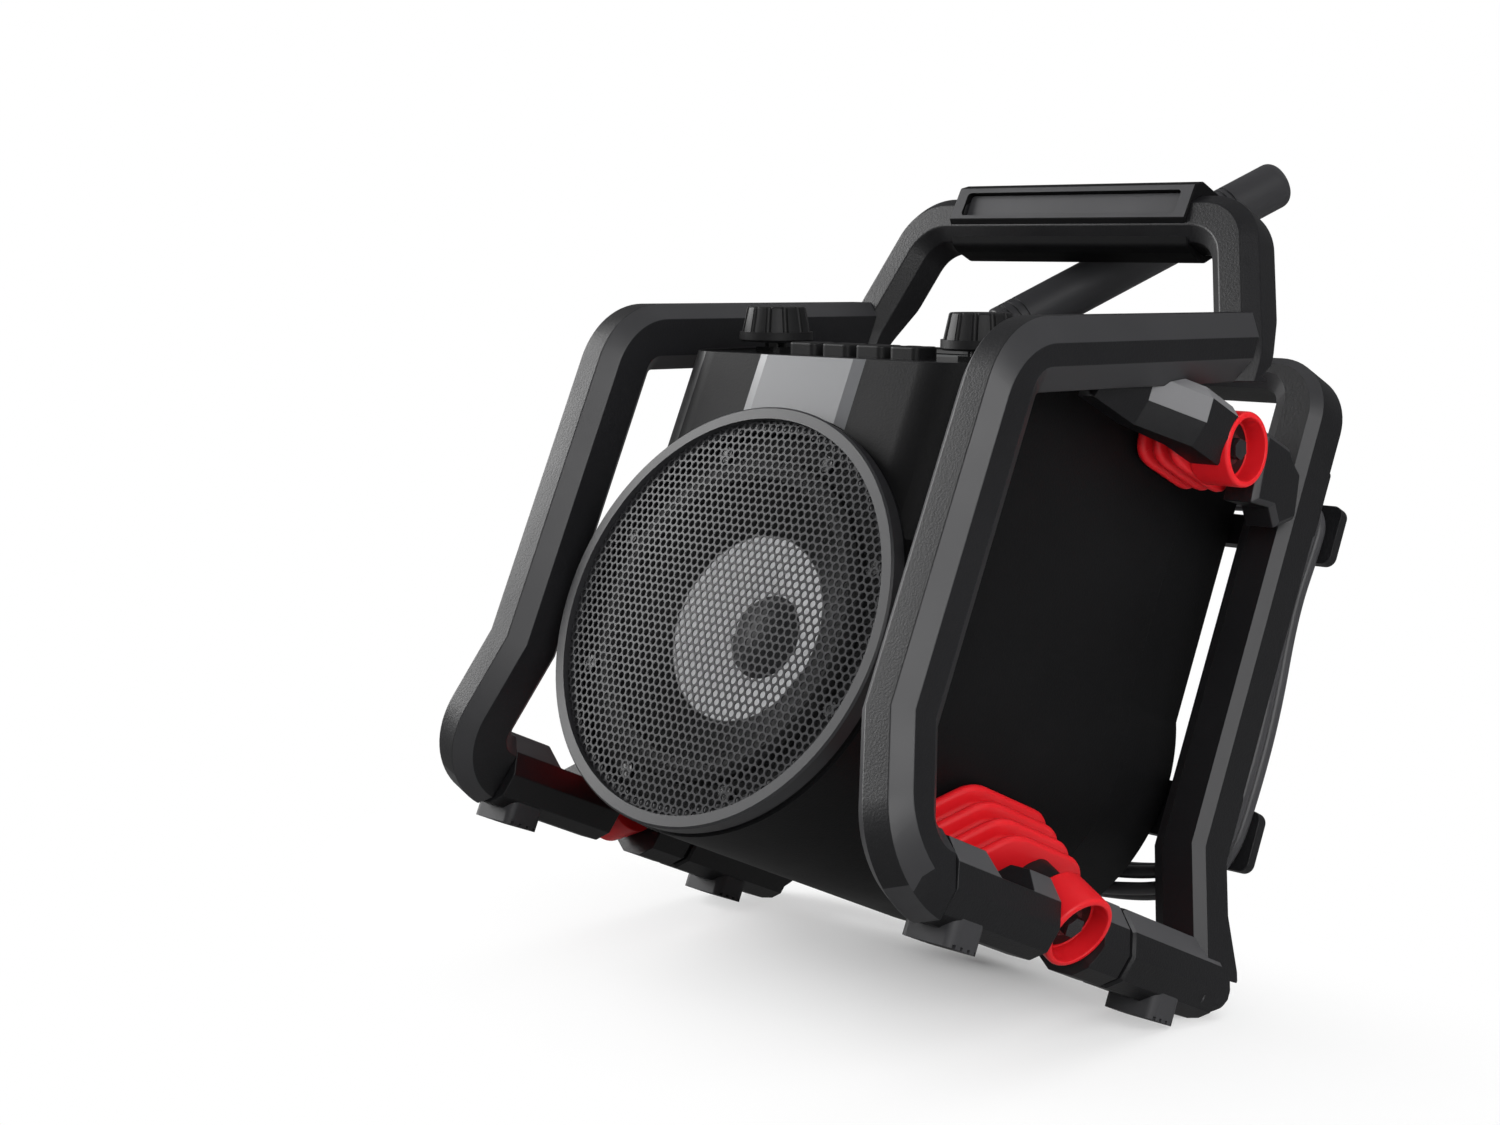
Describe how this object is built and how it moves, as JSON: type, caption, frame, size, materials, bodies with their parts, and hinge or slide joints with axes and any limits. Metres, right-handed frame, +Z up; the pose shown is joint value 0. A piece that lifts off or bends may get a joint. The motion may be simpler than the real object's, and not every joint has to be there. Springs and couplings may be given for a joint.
{
  "type": "jobsite radio",
  "caption": "Rugged jobsite radio: a speaker housing on rubber mounts inside a bevelled roll cage with a handle, cord hooks and aerial.",
  "frame": {"origin": "on the floor plane under the rubber feet, under the middle of the bounding box", "axes": "+Z up, loudspeaker faces -Y, +X to the viewer's right"},
  "size_m": [0.308, 0.2834, 0.4366],
  "materials": {
    "frame_plastic": "textured",
    "body_plastic": "fine textured",
    "light_plastic": "satin",
    "gloss_black": "gloss",
    "red_rubber": "matte",
    "black_rubber": "matte",
    "grille_metal": "satin black",
    "steel": "zinc plated",
    "cone_paper": "matt paper",
    "display": "smoked",
    "board": "fibreglass",
    "cord_rubber": "satin"
  },
  "bodies": {
    "radio": {"bezel_ring": "body_plastic", "body_front_shell": "body_plastic", "body_rear_shell": "body_plastic", "cable_gland": "black_rubber", "circuit_board": "board", "cone_surround": "black_rubber", "control_panel": "body_plastic", "cord_lead": "cord_rubber", "cord_tail": "cord_rubber", "cord_winding": "cord_rubber", "display_window": "display", "driver_screws": "steel", "dust_cap": "gloss_black", "front_strip": "light_plastic", "grip_plate": "gloss_black", "handle_bow": "frame_plastic", "handle_grip": "black_rubber", "knob_bases": "gloss_black", "lower_bellows_left": "red_rubber", "lower_bellows_right": "red_rubber", "lower_cup_left": "red_rubber", "lower_cup_right": "red_rubber", "lower_front_block_left": "frame_plastic", "lower_front_block_right": "frame_plastic", "lower_hook_left": "frame_plastic", "lower_hook_right": "frame_plastic", "lower_middle_block_left": "frame_plastic", "lower_middle_block_right": "frame_plastic", "lower_rear_rail_left": "frame_plastic", "lower_rear_rail_right": "frame_plastic", "mount_bolts": "steel", "plug": "cord_rubber", "rail_joints": "black_rubber", "rear_frame": "frame_plastic", "rubber_feet": "black_rubber", "side_frame_left": "frame_plastic", "side_frame_right": "frame_plastic", "speaker_basket": "grille_metal", "speaker_collar": "body_plastic", "speaker_cone": "cone_paper", "speaker_grille": "grille_metal", "speaker_magnet": "steel", "upper_arm_left": "frame_plastic", "upper_arm_right": "frame_plastic", "upper_bellows_left": "red_rubber", "upper_bellows_right": "red_rubber", "upper_cup_left": "red_rubber", "upper_cup_right": "red_rubber", "upper_hook_left": "frame_plastic", "upper_hook_right": "frame_plastic", "upper_lug_left": "frame_plastic", "upper_lug_right": "frame_plastic"},
    "aerial_rod": {"aerial_rod": "black_rubber"},
    "aerial_turret": {"aerial_turret": "body_plastic"},
    "button_1": {"button_1": "body_plastic"},
    "button_2": {"button_2": "body_plastic"},
    "button_3": {"button_3": "body_plastic"},
    "button_4": {"button_4": "body_plastic"},
    "knob_left": {"knob_left": "body_plastic"},
    "knob_right": {"knob_right": "body_plastic"}
  },
  "joints": [
    {"name": "knob_left_turn", "type": "hinge", "parent": "radio", "child": "knob_left", "pos_m": [-0.0613, -0.08041, 0.2473], "axis": [0, -0.4099, 0.9121], "range_deg": [-150, 150]},
    {"name": "knob_right_turn", "type": "hinge", "parent": "radio", "child": "knob_right", "pos_m": [0.0613, -0.08041, 0.2473], "axis": [0, -0.4099, 0.9121], "range_deg": [-150, 150]},
    {"name": "button_1_press", "type": "slide", "parent": "radio", "child": "button_1", "axis": [0, 0.4099, -0.9121], "range_m": [0, 0.0012], "stiffness_N_per_m": 900, "springref_m": -0.0006},
    {"name": "button_2_press", "type": "slide", "parent": "radio", "child": "button_2", "axis": [0, 0.4099, -0.9121], "range_m": [0, 0.0012], "stiffness_N_per_m": 900, "springref_m": -0.0006},
    {"name": "button_3_press", "type": "slide", "parent": "radio", "child": "button_3", "axis": [0, 0.4099, -0.9121], "range_m": [0, 0.0012], "stiffness_N_per_m": 900, "springref_m": -0.0006},
    {"name": "button_4_press", "type": "slide", "parent": "radio", "child": "button_4", "axis": [0, 0.4099, -0.9121], "range_m": [0, 0.0012], "stiffness_N_per_m": 900, "springref_m": -0.0006},
    {"name": "aerial_swivel", "type": "hinge", "parent": "radio", "child": "aerial_turret", "pos_m": [-0.035, 0.02505, 0.29546], "axis": [0, 0, 1], "range_deg": [0, 78]},
    {"name": "aerial_tilt", "type": "hinge", "parent": "aerial_turret", "child": "aerial_rod", "pos_m": [-0.035, 0.02505, 0.29546], "axis": [0.7738, -0.6334, 0], "range_deg": [-14, 0]}
  ]
}
